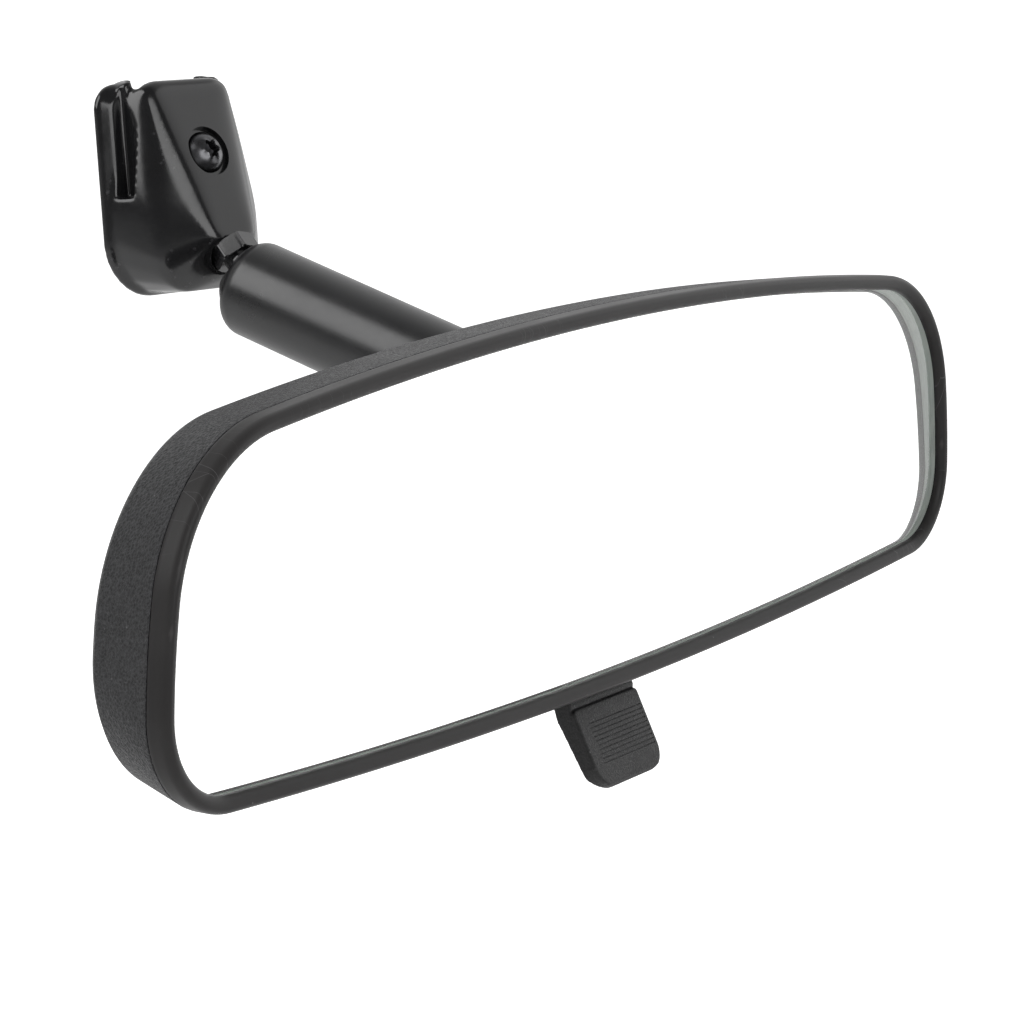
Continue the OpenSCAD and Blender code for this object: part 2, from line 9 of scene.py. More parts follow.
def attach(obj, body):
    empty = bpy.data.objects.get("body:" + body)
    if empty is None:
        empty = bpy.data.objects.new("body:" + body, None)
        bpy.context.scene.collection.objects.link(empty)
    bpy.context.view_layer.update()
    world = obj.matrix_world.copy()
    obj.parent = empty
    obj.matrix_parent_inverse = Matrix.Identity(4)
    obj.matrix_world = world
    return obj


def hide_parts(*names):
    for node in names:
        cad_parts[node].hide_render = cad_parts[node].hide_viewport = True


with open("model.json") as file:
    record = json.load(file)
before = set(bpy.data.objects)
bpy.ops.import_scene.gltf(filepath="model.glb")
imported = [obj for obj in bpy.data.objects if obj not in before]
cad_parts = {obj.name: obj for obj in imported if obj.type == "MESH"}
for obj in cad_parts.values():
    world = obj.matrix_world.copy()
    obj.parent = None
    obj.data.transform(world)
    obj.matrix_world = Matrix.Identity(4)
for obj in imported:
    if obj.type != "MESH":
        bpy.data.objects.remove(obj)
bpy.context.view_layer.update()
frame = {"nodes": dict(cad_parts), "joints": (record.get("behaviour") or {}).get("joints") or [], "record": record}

scene = bpy.context.scene

# ---------------------------------------------------------------- places
joints = {j["name"]: j for j in frame["joints"]}
mounts = {m["name"]: m for m in frame["record"]["mounts"]}
base_ball = Vector(joints["arm_yaw"]["pos_m"])
head_ball = Vector(joints["head_pitch"]["pos_m"])
lever_pivot = Vector(joints["lever_swing"]["pos_m"])
arm_axis = Vector(joints["arm_spin"]["axis"]).normalized()
MM = 0.001


def frame_of(origin, x, z):
    """Matrix from millimetres in a local frame to metres in the row frame."""
    y = z.cross(x)
    m = Matrix((x, y, z)).transposed().to_4x4()
    return Matrix.Translation(origin) @ m @ Matrix.Scale(MM, 4)


X = Vector((1, 0, 0))
Z = Vector((0, 0, 1))
mount_y = Vector(mounts["windshield_face"]["axis"]).normalized()
mount_z = Vector(mounts["button_channel"]["axis"]).normalized()
mount_x = mount_y.cross(mount_z)
HEAD_BALL_Y, HEAD_BALL_Z = 24.8, 13.3
head_origin = head_ball - Vector((0, HEAD_BALL_Y, HEAD_BALL_Z)) * MM
HEAD = frame_of(head_origin, X, Z)
MOUNT = frame_of(Vector((0, 0, 0)), mount_x, mount_z)
ARM = frame_of(head_ball, X, arm_axis)
STUD_DIP = math.radians(40)
base_stud_z = (mount_z * math.cos(STUD_DIP) + mount_y * math.sin(STUD_DIP))
BASE_STUD = frame_of(base_ball, mount_x, base_stud_z)
HEAD_STUD = frame_of(head_ball, X, Vector((0, -1, 0)))
ARM_LENGTH = (base_ball - head_ball).length / MM


# ---------------------------------------------------------------- mesh tools
def new_object(name, verts, faces):
    mesh = bpy.data.meshes.new(name)
    mesh.from_pydata([tuple(v) for v in verts], [], faces)
    mesh.validate()
    obj = bpy.data.objects.new(name, mesh)
    scene.collection.objects.link(obj)
    return obj


def outward(obj):
    bm = bmesh.new()
    bm.from_mesh(obj.data)
    bmesh.ops.recalc_face_normals(bm, faces=bm.faces)
    bm.to_mesh(obj.data)
    bm.free()


def apply(obj, kind, **settings):
    """Adds one modifier and makes its result the object's mesh."""
    mod = obj.modifiers.new(kind, kind)
    for key, value in settings.items():
        setattr(mod, key, value)
    graph = bpy.context.evaluated_depsgraph_get()
    mesh = bpy.data.meshes.new_from_object(obj.evaluated_get(graph))
    obj.modifiers.clear()
    old = obj.data
    obj.data = mesh
    bpy.data.meshes.remove(old)


def combine(obj, other, operation):
    apply(obj, "BOOLEAN", object=other, operation=operation, solver="EXACT")
    mesh = other.data
    bpy.data.objects.remove(other)
    bpy.data.meshes.remove(mesh)


def merge(objs):
    """Puts several closed meshes into the first one, without a boolean."""
    bm = bmesh.new()
    for o in objs:
        bm.from_mesh(o.data)
    bm.to_mesh(objs[0].data)
    bm.free()
    for o in objs[1:]:
        bpy.data.objects.remove(o)
    return objs[0]


def finish_piece(obj, place, body, slot, replaces, *materials, smooth=32):
    """Moves a millimetre mesh to its place, gives it its materials and smoothing, puts it under its body and hides
    the CAD parts it replaces.
    """
    obj.data.transform(place)
    outward(obj)
    obj.data.materials.clear()
    for m in materials:
        obj.data.materials.append(m)
    angle = math.radians(smooth)
    bm = bmesh.new()
    bm.from_mesh(obj.data)
    for f in bm.faces:
        f.smooth = True
    for e in bm.edges:
        e.smooth = len(e.link_faces) != 2 or e.calc_face_angle(0) < angle
    bm.to_mesh(obj.data)
    bm.free()
    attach(obj, body)
    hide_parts(*replaces)
    return obj


def rings_mesh(name, rings, closed=False, poles=(None, None)):
    """Quads between rings of equal length. A pole closes an end with a fan."""
    n = len(rings[0])
    verts = [tuple(p) for ring in rings for p in ring]
    faces = []
    pairs = len(rings) if closed else len(rings) - 1
    for k in range(pairs):
        a, b = k * n, ((k + 1) % len(rings)) * n
        for i in range(n):
            j = (i + 1) % n
            faces.append((a + i, b + i, b + j, a + j))
    for end, pole in enumerate(poles):
        if pole is None:
            continue
        base = 0 if end == 0 else (len(rings) - 1) * n
        verts.append(tuple(pole))
        c = len(verts) - 1
        for i in range(n):
            faces.append((base + i, base + (i + 1) % n, c))
    return new_object(name, verts, faces)


def lathe(name, profile, sides=96, shape=None):
    """Turns a profile of (r, z) about Z. shape(r, z, angle) may change a radius."""
    rings = []
    for r, z in profile[1:-1]:
        ring = []
        for i in range(sides):
            a = 2 * math.pi * i / sides
            q = shape(r, z, a) if shape else r
            ring.append((q * math.cos(a), q * math.sin(a), z))
        rings.append(ring)
    return rings_mesh(name, rings, poles=((0, 0, profile[0][1]), (0, 0, profile[-1][1])))


def prism(name, points, axis, a0, a1):
    """A closed prism. axis X: points are (y, z). axis Y: points are (x, z)."""
    n = len(points)
    put = (lambda p, a: (a, p[0], p[1])) if axis == "X" else (lambda p, a: (p[0], a, p[1]))
    verts = [put(p, a0) for p in points] + [put(p, a1) for p in points]
    faces = [tuple(range(n)), tuple(range(2 * n - 1, n - 1, -1))]
    faces += [(i, (i + 1) % n, n + (i + 1) % n, n + i) for i in range(n)]
    obj = new_object(name, verts, faces)
    outward(obj)
    return obj


def soften(obj, iterations, group=None):
    """Relaxes a dense mesh. group(v) gives each vertex a weight from 0 to 1."""
    settings = {"factor": 0.5, "iterations": iterations}
    if group:
        vg = obj.vertex_groups.new(name="soft")
        for v in obj.data.vertices:
            vg.add([v.index], min(1.0, max(0.0, group(v.co))), "REPLACE")
        settings["vertex_group"] = "soft"
    apply(obj, "SMOOTH", **settings)
    obj.vertex_groups.clear()


def box_piece(name, lo, hi):
    corners = [(lo[0], lo[2]), (hi[0], lo[2]), (hi[0], hi[2]), (lo[0], hi[2])]
    return prism(name, corners, "Y", lo[1], hi[1])


def hull(name, points):
    """The convex hull of the points, without the points inside it."""
    mesh = bpy.data.meshes.new(name)
    bm = bmesh.new()
    for p in points:
        bm.verts.new(p)
    result = bmesh.ops.convex_hull(bm, input=bm.verts)
    inside = result["geom_interior"] + result["geom_unused"]
    spare = [v for v in inside if isinstance(v, bmesh.types.BMVert)]
    bmesh.ops.delete(bm, geom=list(set(spare)), context="VERTS")
    bmesh.ops.recalc_face_normals(bm, faces=bm.faces)
    bm.to_mesh(mesh)
    bm.free()
    obj = bpy.data.objects.new(name, mesh)
    scene.collection.objects.link(obj)
    return obj


def arc(c, r, a0, a1, n):
    angles = [a0 + (a1 - a0) * i / n for i in range(n + 1)]
    return [(c[0] + r * math.cos(a), c[1] + r * math.sin(a)) for a in angles]


def rounded_rect(width, low, high, low_r, top_r, steps, inset=0.0):
    """A rectangle in X and Z with rounded corners, as (x, z) points."""
    corners = ((1, high - top_r, top_r), (-1, high - top_r, top_r),
               (-1, low + low_r, low_r), (1, low + low_r, low_r))
    out = []
    for k, (side, z, r) in enumerate(corners):
        centre = (side * (width / 2 - r), z)
        out += arc(centre, r - inset, k * math.pi / 2, (k + 1) * math.pi / 2, steps)
    return out


# ---------------------------------------------------------------- head outline
HEAD_W, HEAD_H = 240.0, 62.0
TOP_R, LOW_R = 890.0, 1650.0
TOP_CORNER, LOW_CORNER = 27.0, 15.5
SIDE_Z = -16.0
REAR_TOP, REAR_LOW, REAR_SIDE = 3.8, 6.0, 0.9
DROP = 0.5
BEZEL_W, BEZEL_PROUD = 2.65, 1.7
PARTING_Y, WALL_DEPTH, CASE_DEPTH = 1.9, 11.6, 29.0
WALL_DRAFT, CASE_WALL = 1.25, 1.9
TOP_Z = HEAD_H / 2 - TOP_R
LOW_Z = LOW_R - HEAD_H / 2


def corner(arch_r, arch_z, side_r, r):
    """Centre of a corner arc that touches both a long arc and the side arc."""
    d1, d2 = arch_r - r, side_r - r
    z = (d1 * d1 - d2 * d2 + SIDE_Z ** 2 - arch_z ** 2) / (2 * (SIDE_Z - arch_z))
    return math.sqrt(d1 * d1 - (z - arch_z) ** 2), z


SKIN = 0.015    # keeps the finely stepped outline inside the CAD's coarser one
ARCH_STEPS, BEND_STEPS, SIDE_STEPS = 44, 26, 22


def outline(inset, rear=0.0):
    """The head's outline, moved inwards. rear is 0 at the bezel, 1 at the wall's end."""
    inset += SKIN
    rt, rl = TOP_CORNER + REAR_TOP * rear, LOW_CORNER + REAR_LOW * rear
    rs = HEAD_W / 2 + REAR_SIDE * rear
    ct, cl = corner(TOP_R, TOP_Z, rs, rt), corner(LOW_R, LOW_Z, rs, rl)
    a = [math.atan2(ct[1] - TOP_Z, ct[0]), math.atan2(ct[1] - SIDE_Z, ct[0]),
         math.atan2(cl[1] - SIDE_Z, cl[0]), math.atan2(cl[1] - LOW_Z, cl[0])]
    half = arc((0, TOP_Z), TOP_R - inset, math.pi / 2, a[0], ARCH_STEPS)
    half += arc(ct, rt - inset, a[0], a[1], BEND_STEPS)[1:]
    half += arc((0, SIDE_Z), rs - inset, a[1], a[2], SIDE_STEPS)[1:]
    half += arc(cl, rl - inset, a[2], a[3], BEND_STEPS)[1:]
    half += arc((0, LOW_Z), LOW_R - inset, a[3], -math.pi / 2, ARCH_STEPS)[1:]
    full = half + [(-x, z) for x, z in half[-2:0:-1]]
    return np.array([(x, z - DROP) for x, z in full])


def ring_at(points, y):
    return [(x, y, z) for x, z in points]


# ---------------------------------------------------------------- materials
def nodes_of(mat):
    mat.use_nodes = True
    nt = mat.node_tree
    nt.nodes.clear()
    out = nt.nodes.new("ShaderNodeOutputMaterial")
    bsdf = nt.nodes.new("ShaderNodeBsdfPrincipled")
    nt.links.new(bsdf.outputs[0], out.inputs[0])
    return nt, bsdf


class Build:
    """Short calls for the nodes that the materials share."""

    def __init__(self, name):
        self.mat = bpy.data.materials.new(name)
        self.nt, self.bsdf = nodes_of(self.mat)
        self.coord = self.add("ShaderNodeTexCoord").outputs["Object"]

    def add(self, kind, **settings):
        node = self.nt.nodes.new(kind)
        for key, value in settings.items():
            setattr(node, key, value)
        return node

    def put(self, socket, value):
        if isinstance(value, bpy.types.NodeSocket):
            self.nt.links.new(value, socket)
        else:
            socket.default_value = value

    def scaled(self, scale):
        node = self.add("ShaderNodeMapping")
        self.put(node.inputs["Vector"], self.coord)
        node.inputs["Scale"].default_value = scale
        return node.outputs[0]

    def noise(self, scale, detail=3.0, rough=0.55, vector=None):
        node = self.add("ShaderNodeTexNoise")
        self.put(node.inputs["Vector"], vector or self.coord)
        node.inputs["Scale"].default_value = scale
        node.inputs["Detail"].default_value = detail
        node.inputs["Roughness"].default_value = rough
        return node.outputs[0]

    def voronoi(self, scale, feature="F1", vector=None, smooth=None):
        node = self.add("ShaderNodeTexVoronoi", feature=feature)
        self.put(node.inputs["Vector"], vector or self.coord)
        node.inputs["Scale"].default_value = scale
        if smooth is not None:
            node.inputs["Smoothness"].default_value = smooth
        return node.outputs[0]

    def span(self, value, a, b, c, d):
        """Maps a..b to c..d, held at its ends."""
        node = self.add("ShaderNodeMapRange")
        self.put(node.inputs[0], value)
        for k, v in enumerate((a, b, c, d)):
            node.inputs[k + 1].default_value = v
        return node.outputs[0]

    def math(self, operation, a, b):
        node = self.add("ShaderNodeMath", operation=operation)
        self.put(node.inputs[0], a)
        self.put(node.inputs[1], b)
        return node.outputs[0]

    def mix(self, factor, a, b):
        node = self.add("ShaderNodeMix", data_type="RGBA")
        self.put(node.inputs[0], factor)
        self.put(node.inputs[6], a if isinstance(a, bpy.types.NodeSocket) else (*a, 1))
        self.put(node.inputs[7], b if isinstance(b, bpy.types.NodeSocket) else (*b, 1))
        return node.outputs[2]

    def wear(self, low=0.52, high=0.62):
        """Where the surface is convex, as along an edge."""
        return self.span(self.add("ShaderNodeNewGeometry").outputs["Pointiness"], low, high, 0, 1)

    def bump(self, height, strength, distance, below=None):
        node = self.add("ShaderNodeBump")
        node.inputs["Strength"].default_value = strength
        node.inputs["Distance"].default_value = distance
        self.put(node.inputs["Height"], height)
        if below is not None:
            self.put(node.inputs["Normal"], below)
        return node.outputs[0]

    def done(self, color=None, rough=None, normal=None, **plain):
        if color is not None:
            self.put(self.bsdf.inputs["Base Color"], color)
        if rough is not None:
            self.put(self.bsdf.inputs["Roughness"], rough)
        if normal is not None:
            self.put(self.bsdf.inputs["Normal"], normal)
        for key, value in plain.items():
            self.bsdf.inputs[key.replace("_", " ")].default_value = value
        return self.mat


def grained_plastic(name, base, light, rough, scale, depth, edge=0.35, specular=0.5):
    """Moulded plastic with an etched grain, duller in its valleys and worn at its edges."""
    b = Build(name)
    warp = b.noise(scale * 0.5, 2)
    cells = b.voronoi(scale, "SMOOTH_F1", smooth=0.35)
    fine = b.math("MULTIPLY", b.noise(scale * 1.7, 4, 0.65), 0.9)
    pits = b.math("ADD", cells, fine)
    height = b.math("ADD", pits, b.math("MULTIPLY", warp, 0.7))
    tone = b.span(height, 0.9, 1.6, 0, 1)
    patch = b.noise(70, 3)
    color = b.mix(b.math("MULTIPLY", tone, b.span(patch, 0.3, 0.7, 0.6, 1.0)), base, light)
    color = b.mix(b.math("MULTIPLY", b.wear(), edge), color, tuple(2.6 * c for c in light))
    specks = b.span(b.voronoi(260), 0.0, 0.045, 1, 0)
    color = b.mix(b.math("MULTIPLY", specks, 0.35), color, (0.32, 0.32, 0.33))
    r = b.math("ADD", b.span(tone, 0, 1, rough + 0.08, rough - 0.08),
               b.span(patch, 0.3, 0.7, -0.03, 0.03))
    return b.done(color, r, b.bump(height, 1.0, depth), Specular_IOR_Level=specular)


def satin_plastic(name, base, light, rough, scratches=True, specular=0.5):
    """Smooth moulded plastic with faint orange peel, hairline scratches and dust."""
    b = Build(name)
    patch = b.noise(45, 3)
    fine = b.noise(2600, 2)
    color = b.mix(b.span(patch, 0.3, 0.7, 0, 1), base, light)
    color = b.mix(b.math("MULTIPLY", b.wear(0.53, 0.66), 0.25), color, tuple(3 * c for c in light))
    r = b.math("ADD", b.span(patch, 0.3, 0.7, rough - 0.03, rough + 0.04),
               b.span(fine, 0.3, 0.7, -0.02, 0.02))
    normal = b.bump(b.math("ADD", b.noise(300, 2), b.math("MULTIPLY", fine, 0.35)), 0.35, 0.00002)
    if scratches:
        thin = b.scaled((420, 90, 60))
        lines = b.span(b.voronoi(1.0, "DISTANCE_TO_EDGE", vector=thin), 0.0, 0.006, 1, 0)
        lines = b.math("MULTIPLY", lines, b.span(b.noise(38, 1), 0.58, 0.66, 0, 1))
        specks = b.span(b.voronoi(190), 0.0, 0.035, 1, 0)
        marks = b.math("MAXIMUM", b.math("MULTIPLY", lines, 0.25), b.math("MULTIPLY", specks, 0.3))
        color = b.mix(marks, color, (0.3, 0.3, 0.31))
        r = b.math("ADD", r, b.math("MULTIPLY", marks, 0.3))
    return b.done(color, r, normal, Specular_IOR_Level=specular)


def paint(name, base, rough, peel):
    """Black paint on metal: slight orange peel, dust specks and thin spots on edges."""
    b = Build(name)
    patch = b.noise(60, 3)
    color = b.mix(b.span(patch, 0.3, 0.7, 0, 1), base, tuple(1.5 * c for c in base))
    color = b.mix(b.math("MULTIPLY", b.wear(0.55, 0.7), 0.3), color, (0.09, 0.09, 0.095))
    specks = b.span(b.voronoi(240), 0.0, 0.03, 1, 0)
    color = b.mix(b.math("MULTIPLY", specks, 0.15), color, (0.25, 0.25, 0.26))
    r = b.math("ADD", b.span(patch, 0.3, 0.7, rough - 0.03, rough + 0.04),
               b.span(b.noise(900, 2), 0.3, 0.7, -0.02, 0.02))
    height = b.math("ADD", b.noise(240, 2), b.math("MULTIPLY", b.noise(1500, 2), 0.3))
    return b.done(color, r, b.bump(height, 0.5, peel), Specular_IOR_Level=0.5)


def metal(name, base, rough, grain=(900, 60, 60), tint=(0.5, 0.42, 0.33)):
    """Plated or bare metal with drawn grain, dull patches and a little tarnish."""
    b = Build(name)
    drawn = b.noise(1.0, 3, vector=b.scaled(grain))
    patch = b.noise(110, 4)
    color = b.mix(b.span(drawn, 0.3, 0.7, 0, 0.35), base, tuple(0.75 * c for c in base))
    tarnish = tuple(t * c * 1.3 for t, c in zip(tint, base))
    color = b.mix(b.span(patch, 0.55, 0.8, 0, 0.35), color, tarnish)
    color = b.mix(b.math("MULTIPLY", b.wear(), 0.4), color, tuple(min(1, 1.3 * c) for c in base))
    r = b.math("ADD", b.span(patch, 0.3, 0.7, rough - 0.06, rough + 0.1),
               b.span(drawn, 0.3, 0.7, -0.05, 0.05))
    return b.done(color, r, b.bump(drawn, 0.3, 0.00002), Metallic=1.0)


def soft_black(name, base, rough, scale):
    """Rubber or foam: open, slightly uneven surface."""
    b = Build(name)
    cells = b.voronoi(scale, "SMOOTH_F1", smooth=0.6)
    dark, light = tuple(0.6 * c for c in base), tuple(1.5 * c for c in base)
    color = b.mix(b.span(cells, 0.1, 0.6, 0, 1), dark, light)
    return b.done(color, b.span(b.noise(scale * 0.3), 0.3, 0.7, rough - 0.06, rough + 0.06),
                  b.bump(cells, 0.6, 0.00006))


def clear_glass():
    """Glass whose front is wiped clean: a breath of haze in its roughness."""
    b = Build("mirror_glass")
    haze = b.span(b.noise(30, 3), 0.5, 0.8, 0.0, 0.012)
    return b.done((0.985, 0.992, 0.988, 1), haze, IOR=1.52, Transmission_Weight=1.0)


def glowing_ground_edge():
    """Ground edge of the glass, grey-green and finely frosted, with a faint painted glow (emission) that stands in
    for light reaching it through the glass.
    """
    b = Build("glass_edge_glow")
    grind = b.noise(1.0, 3, vector=b.scaled((300, 2400, 300)))
    color = b.mix(b.span(grind, 0.3, 0.7, 0, 1), (0.36, 0.40, 0.37), (0.50, 0.55, 0.51))
    # Painted glow: the edge emits a little of its own grey-green, in place of the light that reaches it through
    # the glass
    b.put(b.bsdf.inputs["Emission Color"], color)
    return b.done(color, b.span(grind, 0.3, 0.7, 0.35, 0.6), b.bump(grind, 0.3, 0.00002),
                  Emission_Strength=0.1)


def silver():
    """Silvered back of the glass."""
    b = Build("silver_coat")
    veil = b.span(b.noise(9, 2), 0.3, 0.7, 0, 1)
    color = b.mix(veil, (0.945, 0.945, 0.938), (0.985, 0.985, 0.983))
    return b.done(color, 0.0, None, Metallic=1.0)


case_grain = grained_plastic("case_plastic", (0.004, 0.004, 0.0045), (0.021, 0.021, 0.023),
                             0.50, 2300, 0.00024, specular=0.40)
bezel_satin = satin_plastic("bezel_plastic", (0.020, 0.0192, 0.0192), (0.028, 0.0268, 0.0268),
                            0.36, specular=0.10)
lever_grain = grained_plastic("lever_plastic", (0.003, 0.003, 0.0033), (0.008, 0.0079, 0.0082),
                              0.55, 3600, 0.00005, edge=0.9, specular=0.35)
mount_gloss = paint("mount_paint", (0.006, 0.006, 0.0065), 0.17, 0.00002)
stud_gloss = paint("black_steel", (0.007, 0.007, 0.0075), 0.15, 0.00001)
arm_satin = paint("arm_paint", (0.008, 0.008, 0.0085), 0.31, 0.00002)
screw_black = metal("black_screw", (0.10, 0.10, 0.105), 0.30, grain=(400, 400, 900))
bare_steel = metal("bare_steel", (0.55, 0.55, 0.57), 0.32)
spring_steel = metal("spring_steel", (0.38, 0.38, 0.40), 0.28, grain=(500, 500, 500))
frame_steel = metal("frame_steel", (0.50, 0.50, 0.52), 0.36, grain=(80, 900, 900))
carrier_metal = metal("carrier_metal", (0.42, 0.42, 0.44), 0.45, grain=(260, 260, 260),
                      tint=(0.8, 0.78, 0.75))
nylon = satin_plastic("nylon", (0.02, 0.02, 0.02), (0.03, 0.03, 0.03), 0.45, scratches=False)
acetal = satin_plastic("acetal", (0.62, 0.61, 0.56), (0.70, 0.69, 0.64), 0.42, scratches=False)
foam = soft_black("foam", (0.05, 0.05, 0.05), 0.9, 2500)
rubber = soft_black("rubber", (0.02, 0.02, 0.02), 0.75, 1800)
# edge is the ground edge's material, which carries a painted glow
glass, edge, silvered = clear_glass(), glowing_ground_edge(), silver()

cad_materials = {
    "clamp_shoe": bare_steel, "base_ball_liner": nylon, "head_ball_liner": nylon,
    "base_ball_cup": acetal, "head_ball_cup": acetal, "arm_spring": spring_steel,
    "stud_nut": bare_steel, "pivot_carrier": carrier_metal, "mirror_coating": silvered,
    "glass_pad": foam, "toggle_frame": frame_steel, "frame_screws": bare_steel,
    "carrier_hinge_pin": bare_steel, "lever_pivot_pin": bare_steel,
    "detent_spring": spring_steel, "stop_bumpers": rubber,
}
for node, mat in cad_materials.items():
    mesh = frame["nodes"][node].data
    mesh.materials.clear()
    mesh.materials.append(mat)

# ---------------------------------------------------------------- rear case
EDGE_ROUND, EDGE_STEP = 0.22, 0.07
LIP_T, LIP_END = 1.25, 4.05        # thin lip around the bezel's tongue
LAND_T, LAND_END = 2.05, 5.75      # thicker land that the tongue stops against
ARM_HOLE_R = 13.0
LEVER_SLOT = ((-8.2, 3.7, -40), (8.2, 12.8, -22))
WALL_RINGS = (PARTING_Y + EDGE_ROUND, 3, 4.2, 5.4, 6.6, 7.8, 9, 10.2, 11)
DOME_RINGS = (0.995, 0.985, 0.97, 0.95, 0.925, 0.9, 0.87, 0.84, 0.8, 0.76,
              0.71, 0.66, 0.6, 0.53, 0.46, 0.38, 0.3, 0.21, 0.11)
INNER_RINGS = (0.11, 0.25, 0.4, 0.55, 0.68, 0.8, 0.9, 0.97, 1.0)
wall_end = outline(WALL_DRAFT, 1)
inner_end = outline(WALL_DRAFT + CASE_WALL, 1)


def wall(t, inset=0.0):
    """Ring of the side wall between the bezel and the turn into the back."""
    a, b = outline(inset, 0), outline(WALL_DRAFT + inset, 1)
    return a + (b - a) * t


def dome(ring, s, depth_cut=0.0):
    """Ring of the domed back. s is 1 at the wall and 0 at the dome's middle."""
    y = WALL_DEPTH + (CASE_DEPTH - WALL_DEPTH) * (1 - s ** 4) - depth_cut
    return [(x * s ** (4 / 3), y, z * s) for x, z in ring]


def at_depth(y):
    """Share of the side wall that lies in front of y."""
    return (y - PARTING_Y) / (WALL_DEPTH - PARTING_Y)


inside = [dome(inner_end, s, CASE_WALL) for s in INNER_RINGS]
inside.append(ring_at(wall(at_depth(LAND_END), CASE_WALL), LAND_END))
for inset, y in ((LAND_T, LAND_END), (LAND_T, LIP_END), (LIP_T, LIP_END), (LIP_T, PARTING_Y)):
    inside.append(ring_at(outline(inset, 0), y))
outside = [ring_at(outline(EDGE_ROUND, 0), PARTING_Y),
           ring_at(outline(EDGE_STEP, 0), PARTING_Y + EDGE_STEP)]
outside += [ring_at(wall(at_depth(y)), y) for y in WALL_RINGS]
outside += [dome(wall_end, s) for s in DOME_RINGS]
case = rings_mesh("case_shell", inside + outside,
                  poles=((0, CASE_DEPTH - CASE_WALL, 0), (0, CASE_DEPTH, 0)))
outward(case)
hole = lathe("cut", [(0, 15), (ARM_HOLE_R, 15), (ARM_HOLE_R, 45), (0, 45)], sides=128)
hole.data.transform(Matrix.Translation((0, 0, HEAD_BALL_Z)) @ Matrix.Rotation(-math.pi / 2, 4, "X"))
outward(hole)
combine(case, hole, "DIFFERENCE")
combine(case, box_piece("cut", *LEVER_SLOT), "DIFFERENCE")
finish_piece(case, HEAD, "head", "case_plastic", ["rear_case"], case_grain, smooth=38)

# ---------------------------------------------------------------- bezel
RIDGE = 1.0                        # how far in the rim's front ridge lies
BEZEL_GAP = 0.04                   # to the case
TONGUE_IN, TONGUE_OUT, TONGUE_END = 1.88, 1.28, 3.9
OUTER_Y, INNER_Y = -0.3, -0.2      # where the front's two curves start
ROUND_STEPS = 10
profile = [(0.22, PARTING_Y - BEZEL_GAP), (0.08, PARTING_Y - 0.1), (0.0, PARTING_Y - 0.28)]
profile += [(0, 1.2), (0, 0.6), (0, 0.1)]
for k in range(ROUND_STEPS + 1):
    a = math.pi / 2 * k / ROUND_STEPS
    profile.append((RIDGE * (1 - math.cos(a)), OUTER_Y - (BEZEL_PROUD + OUTER_Y) * math.sin(a)))
for k in range(1, ROUND_STEPS + 1):
    a = math.pi / 2 * k / ROUND_STEPS
    profile.append((RIDGE + (BEZEL_W - RIDGE) * math.sin(a),
                    INNER_Y - (BEZEL_PROUD + INNER_Y) * math.cos(a)))
profile += [(BEZEL_W, 0.05), (2.05, 0.06), (TONGUE_IN, 0.3), (TONGUE_IN, TONGUE_END),
            (TONGUE_OUT, TONGUE_END), (TONGUE_OUT, PARTING_Y - BEZEL_GAP)]
bezel = rings_mesh("bezel_rim", [ring_at(outline(i, 0), y) for i, y in profile], closed=True)
finish_piece(bezel, HEAD, "head", "bezel_plastic", ["front_bezel"], bezel_satin, smooth=50)

# ---------------------------------------------------------------- glass
GLASS_INSET, GLASS_Y, GLASS_LOW_T, GLASS_HIGH_T = 2.1, 0.1, 2.2, 5.4
low_edge, high_edge = -HEAD_H / 2 + GLASS_INSET, HEAD_H / 2 - GLASS_INSET


def back_y(z):
    """The glass is a wedge: its back leans away from its front towards the top."""
    return GLASS_Y + GLASS_LOW_T + (GLASS_HIGH_T - GLASS_LOW_T) * (z - low_edge) / (high_edge - low_edge)


ARRIS = 0.25
rim, arris = outline(GLASS_INSET, 0), outline(GLASS_INSET + ARRIS, 0)
n = len(rim)
verts = [(x, GLASS_Y, z) for x, z in arris] + [(x, GLASS_Y + ARRIS, z) for x, z in rim]
verts += [(x, back_y(z) - ARRIS, z) for x, z in rim] + [(x, back_y(z), z) for x, z in arris]
faces = [tuple(range(n))]
for a in (0, n, 2 * n):
    faces += [(a + i, a + (i + 1) % n, a + n + (i + 1) % n, a + n + i) for i in range(n)]
faces.append(tuple(range(4 * n - 1, 3 * n - 1, -1)))
pane = new_object("glass_pane", verts, faces)
finish_piece(pane, HEAD, "head", "glass", ["mirror_glass"], glass, edge, silvered, smooth=20)
for k, face in enumerate(pane.data.polygons):
    face.material_index = 0 if k == 0 else (2 if k == len(faces) - 1 else 1)

# ---------------------------------------------------------------- mount
FLANGE_W, FLANGE_TOP, FLANGE_LOW, FLANGE_T, FLANGE_TAPER = 31.4, 16.3, -20.2, 3.5, 3.3
FACE_TOP_W, FACE_LOW_W, FACE_LEN = 19.0, 5.6, 27.0
FACE_WEDGE = math.radians(19.7)
FACE_TOP_Y, FACE_TOP_Z = -7.2, 15.2
STUD_REACH, STUD_DROP, SEAT = 21.4, 20.0, 10.3
FLANGE_TOP_R, FLANGE_LOW_R = 4.5, 10.0
INNER_W = FLANGE_W - 2 * FLANGE_TAPER
